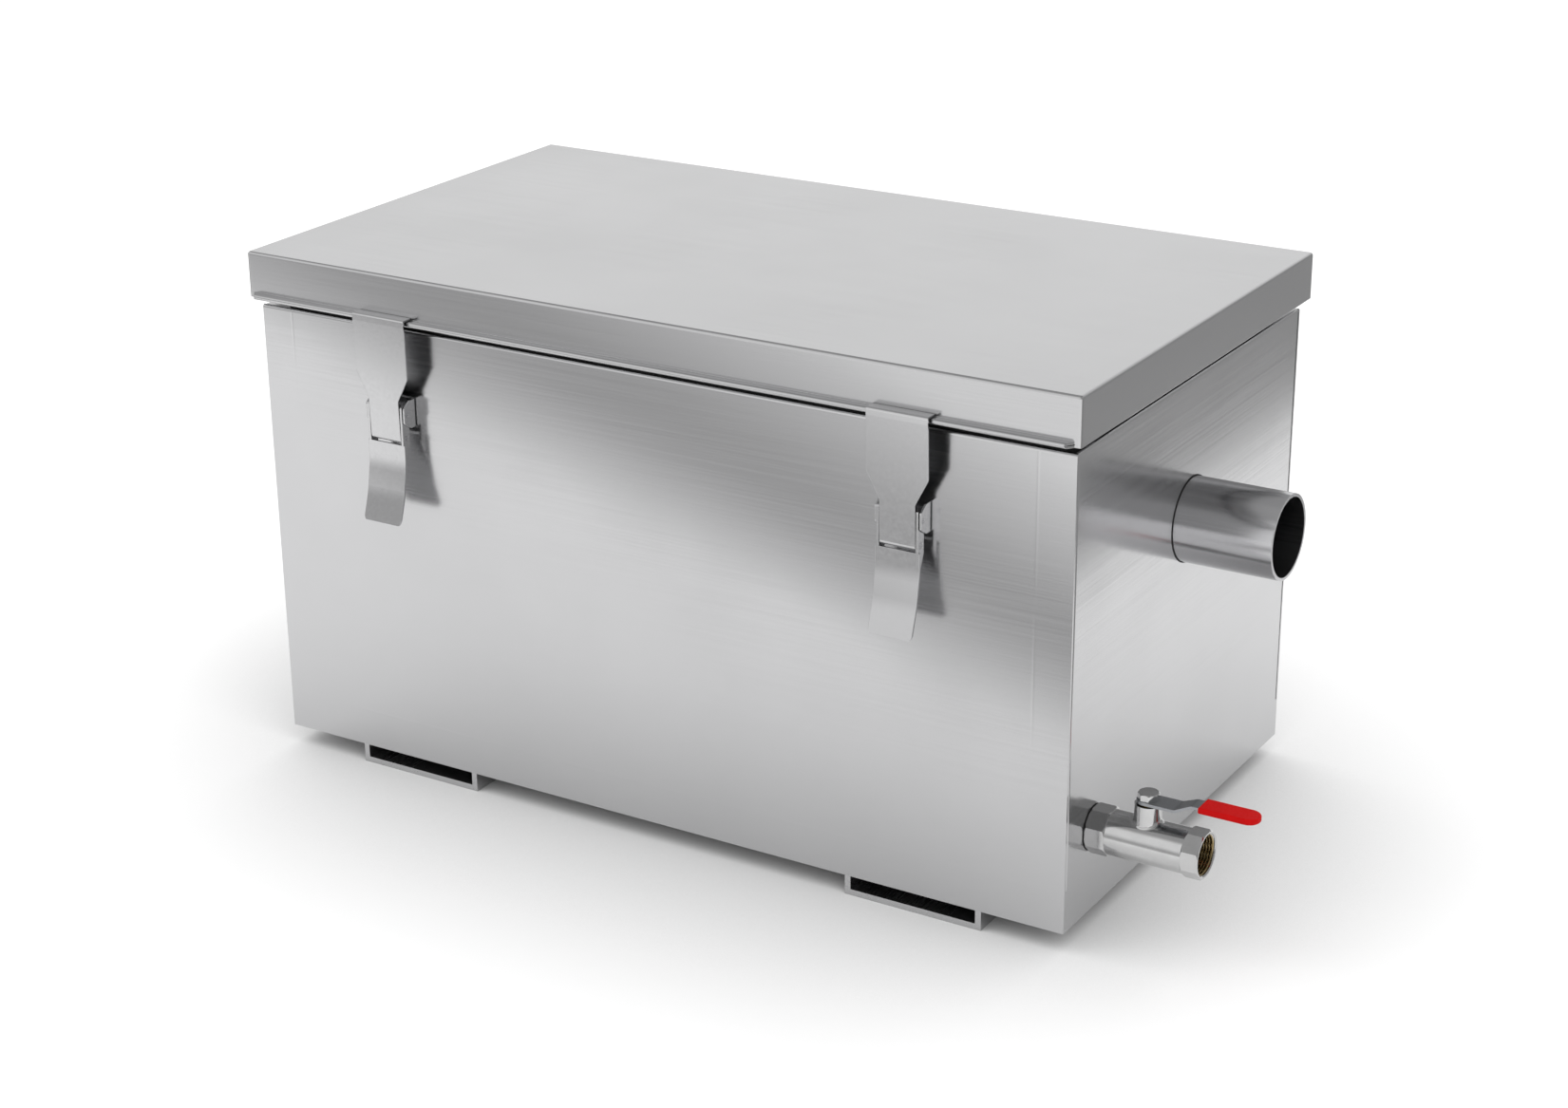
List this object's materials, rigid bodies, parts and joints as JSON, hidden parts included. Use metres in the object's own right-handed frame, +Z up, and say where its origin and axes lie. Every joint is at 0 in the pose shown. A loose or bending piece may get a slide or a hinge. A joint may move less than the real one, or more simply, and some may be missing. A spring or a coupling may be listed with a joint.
{
  "type": "grease trap",
  "caption": "Stainless steel under-sink grease trap: box tank on channel feet, flat lid held by toggle latches, pipe stubs on both ends and a lever drain valve.",
  "frame": {"origin": "bottom centre of the whole part's box: feet undersides on Z = 0, midway between the inlet's end and the valve grip's end along X, and midway between front and back along Y", "axes": "+X along the tank towards the outlet and drain end, +Y from the front towards the back, +Z up"},
  "size_m": [0.7592, 0.3704, 0.352],
  "materials": {
    "lid_steel": "satin stainless sheet",
    "tank_steel": "satin stainless sheet",
    "foot_steel": "satin stainless",
    "pipe_steel": "polished tube",
    "basket_steel": "satin stainless sheet",
    "latch_steel": "pressed stainless",
    "pin_steel": "drawn stainless",
    "lever_steel": "zinc plated",
    "valve_plating": "nickel plated",
    "ball_plating": "chromed ball",
    "stem_brass": "turned brass",
    "seal_rubber": "black rubber",
    "seat_plastic": "white",
    "grip_vinyl": "dipped red vinyl"
  },
  "bodies": {
    "tank": {"lid": "lid_steel", "lid_gasket": "seal_rubber", "front_panel": "tank_steel", "back_panel": "tank_steel", "left_end_panel": "tank_steel", "right_end_panel": "tank_steel", "floor_pan": "tank_steel", "left_foot": "foot_steel", "right_foot": "foot_steel", "inlet_pipe": "pipe_steel", "outlet_pipe": "pipe_steel", "inlet_seal": "seal_rubber", "outlet_seal": "seal_rubber", "sediment_weir": "tank_steel", "grease_baffle": "tank_steel", "strainer_basket": "basket_steel", "front_basket_ledge": "tank_steel", "back_basket_ledge": "tank_steel", "drain_nipple": "pipe_steel", "drain_seal": "seal_rubber", "valve_body": "valve_plating", "valve_end": "valve_plating", "inner_ball_seat": "seat_plastic", "outer_ball_seat": "seat_plastic", "stem_packing": "seat_plastic", "stem_gland": "stem_brass", "front_left_latch_bracket": "latch_steel", "front_left_latch_pivot_pin": "pin_steel", "front_right_latch_bracket": "latch_steel", "front_right_latch_pivot_pin": "pin_steel", "back_left_latch_bracket": "latch_steel", "back_left_latch_pivot_pin": "pin_steel", "back_right_latch_bracket": "latch_steel", "back_right_latch_pivot_pin": "pin_steel"},
    "valve_handle": {"valve_ball": "ball_plating", "valve_stem": "stem_brass", "valve_lever": "lever_steel", "lever_bolt": "valve_plating", "lever_grip": "grip_vinyl"},
    "front_left_lever": {"front_left_latch_lever": "latch_steel", "front_left_latch_hook_pin": "pin_steel"},
    "front_left_hook": {"front_left_latch_hook": "latch_steel"},
    "front_right_lever": {"front_right_latch_lever": "latch_steel", "front_right_latch_hook_pin": "pin_steel"},
    "front_right_hook": {"front_right_latch_hook": "latch_steel"},
    "back_left_lever": {"back_left_latch_lever": "latch_steel", "back_left_latch_hook_pin": "pin_steel"},
    "back_left_hook": {"back_left_latch_hook": "latch_steel"},
    "back_right_lever": {"back_right_latch_lever": "latch_steel", "back_right_latch_hook_pin": "pin_steel"},
    "back_right_hook": {"back_right_latch_hook": "latch_steel"}
  },
  "joints": [
    {"name": "valve_turn", "type": "hinge", "parent": "tank", "child": "valve_handle", "pos_m": [0.3093, -0.12525, 0.068], "axis": [0, 0, 1], "range_deg": [-90, 0]},
    {"name": "front_left_lever_swing", "type": "hinge", "parent": "tank", "child": "front_left_lever", "pos_m": [-0.2083, -0.1729, 0.2617], "axis": [-1, 0, 0], "range_deg": [0, 85]},
    {"name": "front_left_hook_swing", "type": "hinge", "parent": "front_left_lever", "child": "front_left_hook", "pos_m": [-0.2083, -0.17255, 0.246], "axis": [-1, 0, 0], "range_deg": [-95.5, 0]},
    {"name": "front_right_lever_swing", "type": "hinge", "parent": "tank", "child": "front_right_lever", "pos_m": [0.1671, -0.1729, 0.2617], "axis": [-1, 0, 0], "range_deg": [0, 85]},
    {"name": "front_right_hook_swing", "type": "hinge", "parent": "front_right_lever", "child": "front_right_hook", "pos_m": [0.1671, -0.17255, 0.246], "axis": [-1, 0, 0], "range_deg": [-95.5, 0]},
    {"name": "back_left_lever_swing", "type": "hinge", "parent": "tank", "child": "back_left_lever", "pos_m": [-0.2083, 0.1729, 0.2617], "axis": [1, 0, 0], "range_deg": [0, 85]},
    {"name": "back_left_hook_swing", "type": "hinge", "parent": "back_left_lever", "child": "back_left_hook", "pos_m": [-0.2083, 0.17255, 0.246], "axis": [1, 0, 0], "range_deg": [-95.5, 0]},
    {"name": "back_right_lever_swing", "type": "hinge", "parent": "tank", "child": "back_right_lever", "pos_m": [0.1671, 0.1729, 0.2617], "axis": [1, 0, 0], "range_deg": [0, 85]},
    {"name": "back_right_hook_swing", "type": "hinge", "parent": "back_right_lever", "child": "back_right_hook", "pos_m": [0.1671, 0.17255, 0.246], "axis": [1, 0, 0], "range_deg": [-95.5, 0]}
  ],
  "couplings": [
    {"joint": "front_left_hook_swing", "follows": "front_left_lever_swing", "ratio": -1.12},
    {"joint": "front_right_hook_swing", "follows": "front_right_lever_swing", "ratio": -1.12},
    {"joint": "back_left_hook_swing", "follows": "back_left_lever_swing", "ratio": -1.12},
    {"joint": "back_right_hook_swing", "follows": "back_right_lever_swing", "ratio": -1.12}
  ]
}
